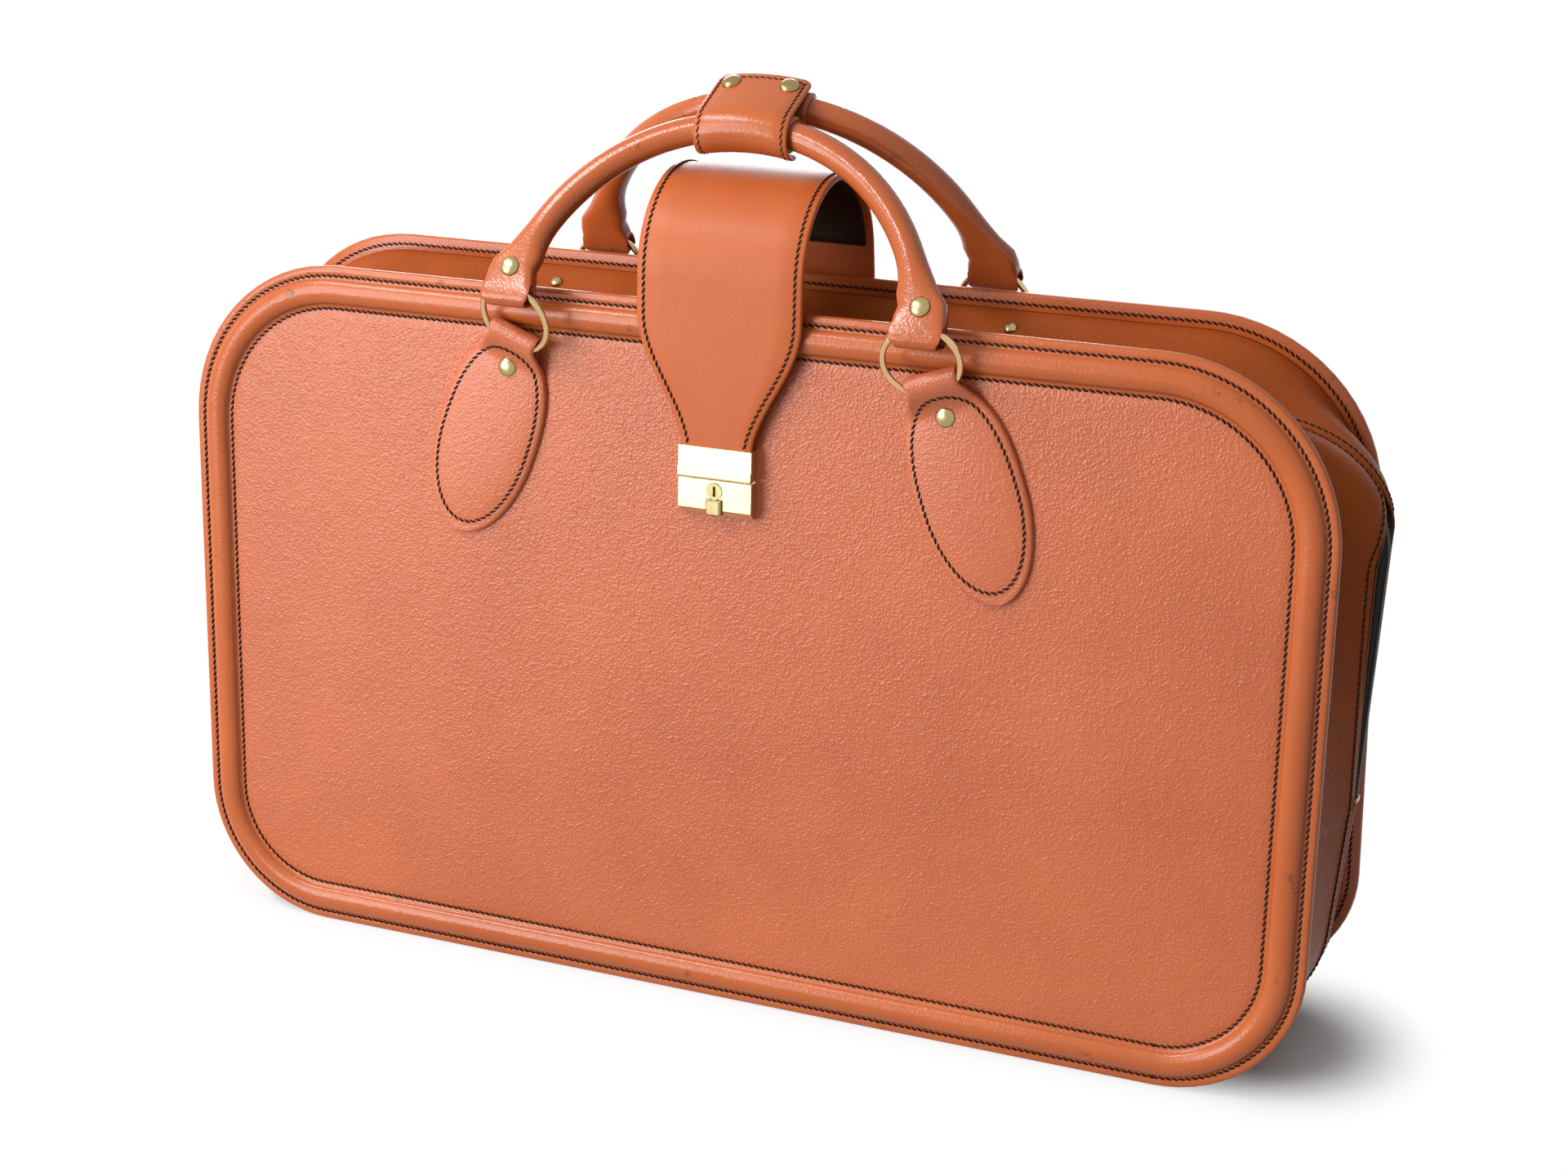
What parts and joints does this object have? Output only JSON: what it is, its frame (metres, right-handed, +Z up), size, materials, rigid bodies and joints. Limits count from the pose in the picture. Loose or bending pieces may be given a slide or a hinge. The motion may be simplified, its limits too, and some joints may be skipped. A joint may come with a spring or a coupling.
{
  "type": "suitcase",
  "caption": "Upright leather suitcase with stiff rounded panels, a soft zipped gusset, arched carrying handles joined by a wrap, and a wide strap that locks at the front.",
  "frame": {"origin": "on the floor under the middle of the case", "axes": "+X to the right along the width, -Y towards the front panel with the lock, +Z up"},
  "size_m": [0.6918, 0.151, 0.5037],
  "materials": {
    "tan_leather": "semi-gloss, fine pebble grain",
    "dark_lining": "matte",
    "cloth_lining": "plain weave",
    "zip_tape": "woven",
    "zip_coil": "satin",
    "rope": "twisted cord",
    "brass": "aged, polished"
  },
  "bodies": {
    "case_back": {"back_panel": "tan_leather", "back_bead": "tan_leather", "back_lining": "cloth_lining", "back_gusset": "tan_leather", "back_zip_tape": "zip_tape", "back_zip_coil": "zip_coil", "base_gusset": "tan_leather", "zip_end_stops": "brass", "gusset_studs": "brass", "rear_left_tab": "tan_leather", "rear_right_tab": "tan_leather", "rear_tab_studs": "brass", "rear_rings": "brass", "strap_anchor": "tan_leather", "anchor_lining": "dark_lining"},
    "case_front": {"front_panel": "tan_leather", "front_bead": "tan_leather", "front_lining": "cloth_lining", "front_gusset": "tan_leather", "front_zip_tape": "zip_tape", "front_zip_coil": "zip_coil", "front_left_tab": "tan_leather", "front_right_tab": "tan_leather", "front_tab_studs": "brass", "front_rings": "brass", "lock_body": "brass", "lock_back_plate": "brass", "lock_rivets": "brass"},
    "front_handle": {"front_handle": "tan_leather", "front_handle_core": "rope", "front_handle_studs": "brass", "front_handle_sleeve": "tan_leather"},
    "rear_handle": {"rear_handle": "tan_leather", "rear_handle_core": "rope", "rear_handle_studs": "brass", "rear_handle_sleeve": "tan_leather"},
    "wrap_flap": {"wrap_flap": "tan_leather", "wrap_snap_caps": "brass"},
    "strap": {"closure_strap": "tan_leather", "strap_lining": "dark_lining", "hasp_clip": "brass"},
    "zip_slider": {"zip_slider": "brass"},
    "zip_pull": {"zip_pull": "brass"},
    "lock_cylinder": {"lock_cylinder": "brass"},
    "lock_button": {"lock_button": "brass"}
  },
  "joints": [
    {"name": "front_open", "type": "hinge", "parent": "case_back", "child": "case_front", "pos_m": [0, -0.0715, 0], "axis": [1, 0, 0], "range_deg": [0, 16]},
    {"name": "strap_lift", "type": "hinge", "parent": "case_back", "child": "strap", "pos_m": [0, 0, 0.4544], "axis": [-1, 0, 0], "range_deg": [0, 60], "deforming": ["closure_strap", "strap_lining"]},
    {"name": "front_handle_swing", "type": "hinge", "parent": "case_front", "child": "front_handle", "pos_m": [0, -0.0659, 0.39425], "axis": [1, 0, 0], "range_deg": [0, 160]},
    {"name": "rear_handle_swing", "type": "hinge", "parent": "case_back", "child": "rear_handle", "pos_m": [0, 0.05349, 0.39606], "axis": [-1, 0, 0], "range_deg": [0, 160], "deforming": ["wrap_flap"]},
    {"name": "wrap_flap_lift", "type": "hinge", "parent": "front_handle", "child": "wrap_flap", "pos_m": [0, -0.01452, 0.48981], "axis": [1, 0, 0], "range_deg": [0, 100]},
    {"name": "zip_slide", "type": "slide", "parent": "case_back", "child": "zip_slider", "axis": [-0.0541, 0, 0.9985], "range_m": [0, 0.12]},
    {"name": "zip_pull_swing", "type": "hinge", "parent": "zip_slider", "child": "zip_pull", "pos_m": [-0.34358, 0, 0.15974], "axis": [0, 1, 0], "range_deg": [0, 150]},
    {"name": "lock_key_turn", "type": "hinge", "parent": "case_front", "child": "lock_cylinder", "pos_m": [0, -0.06029, 0.29554], "axis": [0, 0.9975, -0.07], "range_deg": [0, 90]},
    {"name": "lock_button_press", "type": "slide", "parent": "case_front", "child": "lock_button", "axis": [0, 0.9975, -0.07], "range_m": [0, 0.0024], "stiffness_N_per_m": 300}
  ],
  "couplings": [
    {"joint": "strap_lift", "follows": "front_open", "ratio": 3.75}
  ]
}
